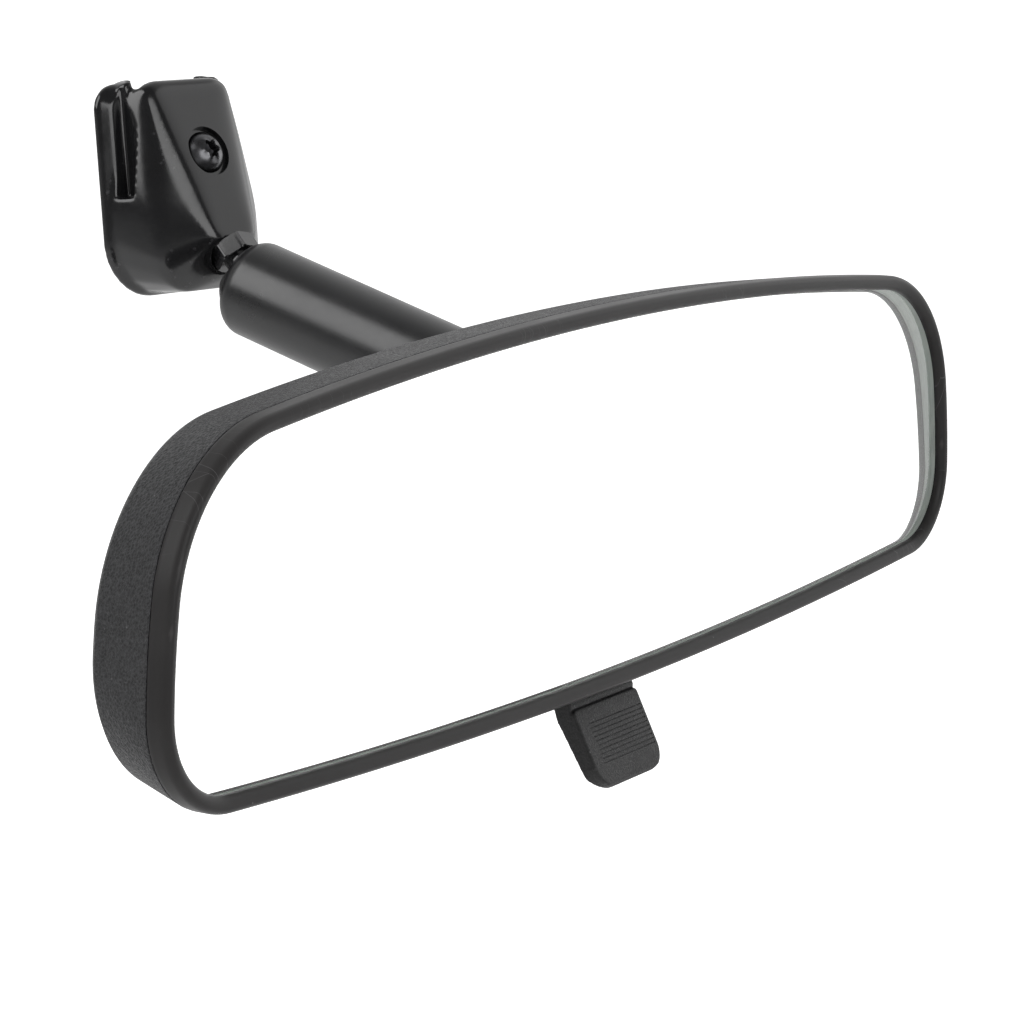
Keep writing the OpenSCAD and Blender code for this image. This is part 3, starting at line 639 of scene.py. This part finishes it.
# Slabs inside the hull: y of the back, width, lowest z, highest z, corner radius
SLABS = ((-FLANGE_T + 0.5, 23, 0, FLANGE_TOP - 0.4, 3),
         (-FLANGE_T + 0.5, INNER_W, FLANGE_LOW + 1, -2, 8),
         (-9, INNER_W - 1, FLANGE_LOW + 0.6, 1, 7))
SLAB_T = 0.5
CROWN, CROWN_YS = 0.3, (-6.3, -5.8)
CROWN_OUTLINE = ((-8.6, -5), (8.6, -5), (8.6, -1), (7.8, -0.2), (6.8, 0),
                 (-6.8, 0), (-7.8, -0.2), (-8.6, -1))
LOWER_EDGE = ((15.2, -3), (15.2, -9.5), (14.2, -13.6), (11.6, -17), (8, -19.2), (4, -19.8))
PAD_R = 4.9                        # flat around the stud's seat
BELLY_R, BELLY_Y, BELLY_Z, BELLY_FLAT = 7.3, -10.5, -11.2, 0.6
RAIL_R, RAIL_X, RAIL_DROP, RAIL_STRETCH = 2.4, 8.2, 1.6, (1.6, 1, 0.9, 1)
# Boxes cut away: the channel's mouth and inside, the shoe's pocket, the side grooves
MOUNT_CUTS = (((-8, -1.81, -12), (8, 1, 25)), ((-9.5, -5, -12.1), (9.5, -1.79, 26)),
              ((-5.1, -6.9, -4.5), (5.1, -4.9, 7.7)),
              ((11.2, -5.6, -3), (20.5, -2.6, 27)), ((-20.5, -5.6, -3), (-11.2, -2.6, 27)))
SEAT_HOLE_R, SEAT_HOLE_DEPTH = 4.3, 6
RECESS, RECESS_R, SCREW_HOLE_R = 0.9, 4.4, 2.02
face_place = (Matrix.Translation((0, FACE_TOP_Y, FACE_TOP_Z)) @ Matrix.Rotation(-FACE_WEDGE, 4, "X")
              @ Matrix.Translation((0, 0, -FACE_LEN / 2)))
seat_place = Matrix.Translation((0, -STUD_REACH, -STUD_DROP)) @ Matrix.Rotation(-STUD_DIP, 4, "X")


def flange_ring(inset, y):
    return ring_at(rounded_rect(FLANGE_W, FLANGE_LOW, FLANGE_TOP, FLANGE_LOW_R, FLANGE_TOP_R, 14, inset), y)


def slab(y, width, low, high, r):
    ring = rounded_rect(width, low, high, r, r, 12)
    return ring_at(ring, y - SLAB_T) + ring_at(ring, y)


points = []
for y in (0, 1.5):
    for x, z in ((-FACE_TOP_W / 2, FACE_LEN / 2), (FACE_TOP_W / 2, FACE_LEN / 2),
                 (FACE_LOW_W / 2, -FACE_LEN / 2), (-FACE_LOW_W / 2, -FACE_LEN / 2)):
        points.append(face_place @ Vector((x, y, z)))
points += [(x, y, FLANGE_TOP + CROWN + z) for y in CROWN_YS for x, z in CROWN_OUTLINE]
points += [(s * x, y, z) for s in (-1, 1) for y in (-1, -0.3) for x, z in LOWER_EDGE]
for place in SLABS:
    points += slab(*place)
for i in range(48):
    a = 2 * math.pi * i / 48
    for z in (SEAT, SEAT + 1):
        points.append(seat_place @ Vector((PAD_R * math.cos(a), PAD_R * math.sin(a), z)))
for i in range(24):
    for k in range(1, 18):
        a, b = 2 * math.pi * i / 24, math.pi * k / 18
        points.append((BELLY_R * math.sin(b) * math.cos(a),
                       BELLY_Y + BELLY_FLAT * BELLY_R * math.sin(b) * math.sin(a),
                       BELLY_Z + BELLY_R * math.cos(b)))
face_out = face_place.to_3x3() @ Vector((0, -1, 0))
face_at = face_place.translation
points = [Vector(p) for p in points]
body = hull("mount_casting", points)
# The face is the plane that cuts the hull off in front
bm = bmesh.new()
bm.from_mesh(body.data)
cut = bmesh.ops.bisect_plane(bm, geom=bm.verts[:] + bm.edges[:] + bm.faces[:], plane_co=face_at,
                             plane_no=face_out, clear_outer=True)
rim_edges = [e for e in cut["geom_cut"] if isinstance(e, bmesh.types.BMEdge)]
bmesh.ops.edgenet_fill(bm, edges=rim_edges)
bm.to_mesh(body.data)
bm.free()
outward(body)
apply(body, "REMESH", mode="VOXEL", voxel_size=0.5)
seat_at = seat_place @ Vector((0, 0, SEAT))


def softness(v):
    """Least towards the mount's ends, and none around the stud's seat."""
    return min(0.3 + (v.z + 14) / 16, 0.25 + (FLANGE_TOP - v.z) / 7, ((v - seat_at).length - 3) / 9)


soften(body, 110, softness)
flange = hull("flange", flange_ring(0, 0) + flange_ring(0, -1) + flange_ring(FLANGE_TAPER, -3)
              + flange_ring(FLANGE_TAPER, -FLANGE_T))
parts = [body, flange]
for s in (-1, 1):
    rail = lathe("rail", [(0, 0), (RAIL_R, 0), (RAIL_R, FLANGE_T), (0, FLANGE_T)], sides=48)
    rail.data.transform(Matrix.Translation((s * RAIL_X, 0, FLANGE_TOP - RAIL_DROP))
                        @ Matrix.Diagonal(RAIL_STRETCH) @ Matrix.Rotation(math.pi / 2, 4, "X"))
    outward(rail)
    parts.append(rail)
body = merge(parts)
apply(body, "REMESH", mode="VOXEL", voxel_size=0.3)
for lo, hi in MOUNT_CUTS:
    combine(body, box_piece("cut", lo, hi), "DIFFERENCE")
screw_place = face_place @ Matrix.Translation((0, 0, 1.7)) @ Matrix.Rotation(math.pi / 2, 4, "X")
seat_hole = lathe("cut", [(0, SEAT - SEAT_HOLE_DEPTH), (SEAT_HOLE_R, SEAT - SEAT_HOLE_DEPTH),
                          (SEAT_HOLE_R, SEAT), (0, SEAT)], sides=64)
seat_hole.data.transform(seat_place)
outward(seat_hole)
combine(body, seat_hole, "DIFFERENCE")
apply(body, "REMESH", mode="VOXEL", voxel_size=0.25)
soften(body, 14)
recess = lathe("cut", [(0, -14), (SCREW_HOLE_R, -14), (SCREW_HOLE_R, -RECESS),
                       (RECESS_R, -RECESS), (RECESS_R, 5), (0, 5)], sides=96)
recess.data.transform(screw_place)
outward(recess)
combine(body, recess, "DIFFERENCE")
finish_piece(body, MOUNT, "mount", "mount_paint", ["mount_base"], mount_gloss, smooth=40)

# ---------------------------------------------------------------- screw
SCREW_LOW, SCREW_HEAD_H, SCREW_DOME_R, SCREW_HEAD_R = -RECESS, 2.2, 4.3, 3.7
SCREW_SHANK_R, SCREW_TIP, SCREW_SIDES = 2.0, -7.25, 96
SOCKET_R, SOCKET_WAVE, SOCKET_FLOOR = 1.5, 0.24, -0.65


def star(a, size):
    return size * (SOCKET_R + SOCKET_WAVE * math.cos(6 * a))


def screw_ring(star_share, size, r, z):
    """A ring between a six-lobed star and a circle of radius r."""
    ring = []
    for i in range(SCREW_SIDES):
        a = 2 * math.pi * i / SCREW_SIDES
        q = star_share * star(a, size) + (1 - star_share) * r
        ring.append((q * math.cos(a), q * math.sin(a), z))
    return ring


def dome_z(r):
    return SCREW_LOW + SCREW_HEAD_H - SCREW_DOME_R + math.sqrt(max(0, SCREW_DOME_R ** 2 - r * r))


rim_z = dome_z(3.62)
SOCKET = ((0.4, SOCKET_FLOOR), (0.8, -0.63), (0.93, -0.6), (0.99, -0.4), (1.0, dome_z(1.5) - 0.12),
          (1.05, dome_z(1.6)))
CROWN_RINGS = ((0.5, 2.1), (0.0, 2.4), (0.0, 2.8), (0.0, 3.2), (0.0, 3.5))
SHANK = ((3.66, rim_z), (SCREW_HEAD_R, rim_z - 0.15), (SCREW_HEAD_R, SCREW_LOW),
         (SCREW_SHANK_R, SCREW_LOW), (SCREW_SHANK_R, -7.0), (1.8, SCREW_TIP))
screw_rings = [screw_ring(1, size, 0, z) for size, z in SOCKET]
screw_rings += [screw_ring(share, 1.2, r, dome_z(r)) for share, r in CROWN_RINGS]
screw_rings += [screw_ring(0, 1, r, z) for r, z in SHANK]
screw = rings_mesh("clamp_screw", screw_rings, poles=((0, 0, SOCKET_FLOOR), (0, 0, SCREW_TIP)))
finish_piece(screw, MOUNT @ screw_place, "mount", "black_screw", ["mount_screw"], screw_black, smooth=45)

# ---------------------------------------------------------------- studs
BALL_R, WAIST_R, HEX_AF, HEX_START, SHANK_R = 6.35, 2.6, 7.1, 7.2, 3.0
HEX_TURN = math.radians(-13)       # turn of the mount's hexagon, as in the photo
RELIEF_R, RELIEF_LEN, CHAMFER = 2.2, 2.4, 0.3
HEX_SMOOTH = 8                     # degrees, so the hexagon's corners stay sharp


def hex_radius(a):
    """A hexagon as a radius for each angle, with a corner at zero."""
    return HEX_AF / 2 / math.cos((a % (math.pi / 3)) - math.pi / 6)


def stud(name, shank_len, turn):
    prof = [(0, -BALL_R)]
    waist_z = math.sqrt(BALL_R ** 2 - WAIST_R ** 2)
    a0 = math.asin(waist_z / BALL_R)
    for k in range(1, 40):
        a = -math.pi / 2 + (a0 + math.pi / 2) * k / 40
        prof.append((BALL_R * math.cos(a), BALL_R * math.sin(a)))
    prof += [(WAIST_R + 0.15, waist_z + 0.1), (WAIST_R, waist_z + 0.35), (WAIST_R, HEX_START),
             (HEX_AF / 2 + 0.25, HEX_START + 0.01), (HEX_AF / math.sqrt(3), HEX_START + 0.2),
             (HEX_AF / math.sqrt(3), SEAT - 0.1), (HEX_AF / 2 + 0.3, SEAT)]
    # Relief behind the hexagon, then the shank
    prof += [(RELIEF_R, SEAT + 0.01), (RELIEF_R, SEAT + RELIEF_LEN),
             (SHANK_R, SEAT + RELIEF_LEN + CHAMFER), (SHANK_R, SEAT + shank_len - CHAMFER),
             (SHANK_R - CHAMFER, SEAT + shank_len), (0, SEAT + shank_len)]

    def shape(r, z, a):
        return min(r, hex_radius(a + turn)) if HEX_START <= z <= SEAT and r > WAIST_R else r
    return lathe(name, prof, sides=144, shape=shape)


finish_piece(stud("mount_stud", 7, HEX_TURN), BASE_STUD, "mount", "black_steel",
             ["base_ball_stud"], stud_gloss, smooth=HEX_SMOOTH)
finish_piece(stud("carrier_stud", 5.2, 0), HEAD_STUD, "carrier", "black_steel",
             ["head_ball_stud"], stud_gloss, smooth=HEX_SMOOTH)

# ---------------------------------------------------------------- arm tube
TUBE_R, MOUTH, MOUTH_R, SHOULDER_R, BORE_R = 8.3, 4.0, 6.45, 3.5, 7.12
half = [(BORE_R, ARM_LENGTH / 2), (BORE_R, ARM_LENGTH)]
top = ARM_LENGTH + MOUTH
seat_a = math.acos(MOUTH_R / BORE_R)
for k in range(1, 6):
    a = seat_a * k / 5
    half.append((BORE_R * math.cos(a), ARM_LENGTH + BORE_R * math.sin(a)))
flat_r = TUBE_R - SHOULDER_R
half += [(MOUTH_R, top - 0.85), (MOUTH_R + 0.05, top - 0.5)]
for k in range(17):
    a = math.acos((MOUTH_R + 0.3 - flat_r) / SHOULDER_R) * (1 - k / 16)
    half.append((flat_r + SHOULDER_R * math.cos(a), top - SHOULDER_R + SHOULDER_R * math.sin(a)))
half += [(TUBE_R, ARM_LENGTH * 0.75), (TUBE_R, ARM_LENGTH / 2)]
down = [(r, ARM_LENGTH - z) for r, z in half[::-1]]
tube_profile = half + down[1:-1]
TUBE_SIDES = 160
turns = [2 * math.pi * i / TUBE_SIDES for i in range(TUBE_SIDES)]
tube_rings = [[(r * math.cos(a), r * math.sin(a), z) for a in turns] for r, z in tube_profile]
tube = rings_mesh("arm_sleeve", tube_rings, closed=True)
finish_piece(tube, ARM, "arm", "arm_paint", ["arm_tube"], arm_satin, smooth=40)

# ---------------------------------------------------------------- lever
LEAN, TAB_W, REACH = math.radians(26), 20.0, 24.4
TAB_FRONT, TAB_TOP, DRIVE_R = -0.65, -10.8, 4.3
LEVER = frame_of(lever_pivot, X, Vector((0, math.sin(LEAN), math.cos(LEAN))))
# The tab's section, as (y, z)
tab_section = [(TAB_FRONT, TAB_TOP), (TAB_FRONT, 0.6 - REACH), (TAB_FRONT + 0.6, -REACH),
               (TAB_FRONT + 1.5, -REACH), (TAB_FRONT + 2.7, 2.4 - REACH), (TAB_FRONT + 3.75, TAB_TOP)]
tab = prism("lever_tab", tab_section, "X", -TAB_W / 2, TAB_W / 2)
TOP_ROUND, LOW_ROUND = 0.8, 4.0
shape = rounded_rect(TAB_W, -REACH, TAB_TOP, LOW_ROUND, TOP_ROUND, 14)
combine(tab, prism("cut", shape, "Y", -10, 10), "INTERSECT")
NECK_HALF = 6.5
neck_section = [(-1.3, 0), (1.6, 0), (3.1, TAB_TOP - 1), (0.6, TAB_TOP - 1)]
neck = prism("neck", neck_section, "X", -NECK_HALF, NECK_HALF)
combine(tab, neck, "UNION")
collar = prism("collar", [(-0.45, -8), (2.6, -8), (3.1, TAB_TOP - 1), (0.45, TAB_TOP - 1),
                          (-0.45, TAB_TOP + 0.7)], "X", -TAB_W / 2, TAB_W / 2)
combine(tab, collar, "UNION")


def x_bar(r, length, z=0.0):
    end = length / 2
    bar = lathe("bar", [(0, -end), (r, -end), (r, end), (0, end)], sides=64)
    bar.data.transform(Matrix.Translation((0, 0, z)) @ Matrix.Rotation(math.pi / 2, 4, "Y"))
    outward(bar)
    return bar


HUB_R, DRIVE_BAR_R, PIN_HOLE_R, DRIVE_ARM_X = 2.5, 1.3, 1.55, 6.8
combine(tab, x_bar(HUB_R, 24), "UNION")
combine(tab, x_bar(DRIVE_BAR_R, 15.6, DRIVE_R), "UNION")
for s in (-1, 1):
    sides = [(-1.6, 0), (1.6, 0), (1.2, DRIVE_R), (-1.2, DRIVE_R)]
    combine(tab, prism("arm", sides, "X", s * DRIVE_ARM_X - 1, s * DRIVE_ARM_X + 1), "UNION")
apply(tab, "REMESH", mode="VOXEL", voxel_size=0.17)
soften(tab, 5)
GROOVES, PITCH = 10, 0.75
cutters = []
for i in range(GROOVES):
    z = TAB_TOP - 3 - PITCH * i
    ring = [(TAB_FRONT - 0.5, z - 0.06), (TAB_FRONT - 0.5, z + 0.4), (TAB_FRONT + 0.06, z + 0.27),
            (TAB_FRONT + 0.11, z + 0.17), (TAB_FRONT + 0.06, z + 0.07)]
    cutters.append(prism("groove", ring, "X", -TAB_W / 2 + 3, TAB_W / 2 - 0.8))
combine(tab, merge(cutters), "DIFFERENCE")
combine(tab, x_bar(PIN_HOLE_R, 60), "DIFFERENCE")
finish_piece(tab, LEVER, "lever", "lever_plastic", ["toggle_lever"], lever_grain, smooth=40)

# ---------------------------------------------------------------- floor, light, camera
FLOOR_Z, FLOOR_HALF = -0.42, 14
floor_corners = [(x * FLOOR_HALF, y * FLOOR_HALF, FLOOR_Z) for x, y in ((-1, -1), (1, -1), (1, 1), (-1, 1))]
floor = new_object("floor", floor_corners, [(0, 1, 2, 3)])
b = Build("floor_paper")
tone = b.mix(b.span(b.noise(0.6, 2), 0.3, 0.7, 0, 1), (0.86, 0.86, 0.86), (0.88, 0.88, 0.88))
floor.data.materials.append(b.done(tone, b.span(b.noise(5, 2), 0.3, 0.7, 0.85, 0.95),
                                   Emission_Color=(1, 1, 1, 1)))
path = b.add("ShaderNodeLightPath")
seen_glow = b.math("MULTIPLY", path.outputs["Is Camera Ray"], 0.65)
b.put(b.bsdf.inputs["Emission Strength"], b.math("ADD", seen_glow, 0.2))


def area(name, place, target, size, radiance):
    data = bpy.data.lights.new(name, "AREA")
    data.shape = "RECTANGLE"
    data.size, data.size_y = size
    data.energy = radiance * size[0] * size[1] * math.pi
    data.spread = math.pi
    obj = bpy.data.objects.new(name, data)
    scene.collection.objects.link(obj)
    obj.location = place
    obj.rotation_euler = (Vector(target) - Vector(place)).to_track_quat("-Z", "Y").to_euler()
    obj.visible_camera = False


AIM = Vector((-0.02, -0.06, -0.03))


def softbox(name, azimuth, elevation, distance, size, radiance):
    az, el = math.radians(azimuth), math.radians(elevation)
    way = Vector((math.cos(el) * math.cos(az), math.cos(el) * math.sin(az), math.sin(el)))
    area(name, AIM + distance * way, AIM, size, radiance)


softbox("left_back", 152, 38, 1.35, (0.95, 1.15), 4.3)
softbox("front_left", -110, 20, 1.5, (1.15, 0.9), 3.4)
area("front_card", (1.12, -0.79, 0.42), (-0.02, -0.06, 0.42), (1.7, 1.64), 0.84)

# The studio: a white backdrop behind the object, dark room behind the camera
world = bpy.data.worlds.new("studio")
scene.world = world
world.use_nodes = True
nt = world.node_tree
nt.nodes.clear()


def world_node(kind, **inputs):
    node = nt.nodes.new(kind)
    for key, value in inputs.items():
        node.inputs[int(key[1:])].default_value = value
    return node


out = world_node("ShaderNodeOutputWorld")
seen = world_node("ShaderNodeBackground", i0=(1, 1, 1, 1), i1=1.05)
lit = world_node("ShaderNodeBackground", i0=(1, 1, 1, 1))
direction = world_node("ShaderNodeTexCoord")
side = nt.nodes.new("ShaderNodeVectorMath")
side.operation = "DOT_PRODUCT"
side.inputs[1].default_value = (0.83, 0.55, 0.0)
ramp = world_node("ShaderNodeMapRange", i1=-0.1, i2=0.6, i3=0.16, i4=1.0)
path = nt.nodes.new("ShaderNodeLightPath")
mix = nt.nodes.new("ShaderNodeMixShader")
nt.links.new(direction.outputs["Generated"], side.inputs[0])
nt.links.new(side.outputs["Value"], ramp.inputs[0])
nt.links.new(ramp.outputs[0], lit.inputs[1])
nt.links.new(path.outputs["Is Camera Ray"], mix.inputs[0])
nt.links.new(lit.outputs[0], mix.inputs[1])
nt.links.new(seen.outputs[0], mix.inputs[2])
nt.links.new(mix.outputs[0], out.inputs[0])
scene.view_settings.view_transform = "Standard"
scene.view_settings.look = "None"

CAMERA_AT = (-0.4641, -0.3642, 0.0529)
CAMERA_AZIMUTH, CAMERA_DIP, CAMERA_ROLL = 32.28, 10.785, 0.212      # degrees
camera_data = bpy.data.cameras.new("camera")
camera_data.lens = 119.2
camera_data.sensor_width = 36
camera_data.clip_start = 0.01
camera_data.dof.use_dof = False
camera = bpy.data.objects.new("camera", camera_data)
scene.collection.objects.link(camera)
azimuth, dip, roll = (math.radians(d) for d in (CAMERA_AZIMUTH, CAMERA_DIP, CAMERA_ROLL))
forward = Vector((math.cos(dip) * math.cos(azimuth), math.cos(dip) * math.sin(azimuth), -math.sin(dip)))
right = forward.cross(Z).normalized()
up = right.cross(forward)
right, up = right * math.cos(roll) + up * math.sin(roll), up * math.cos(roll) - right * math.sin(roll)
camera.matrix_world = (Matrix.Translation(CAMERA_AT)
                       @ Matrix((right, up, -forward)).transposed().to_4x4())
scene.camera = camera

bpy.context.view_layer.update()
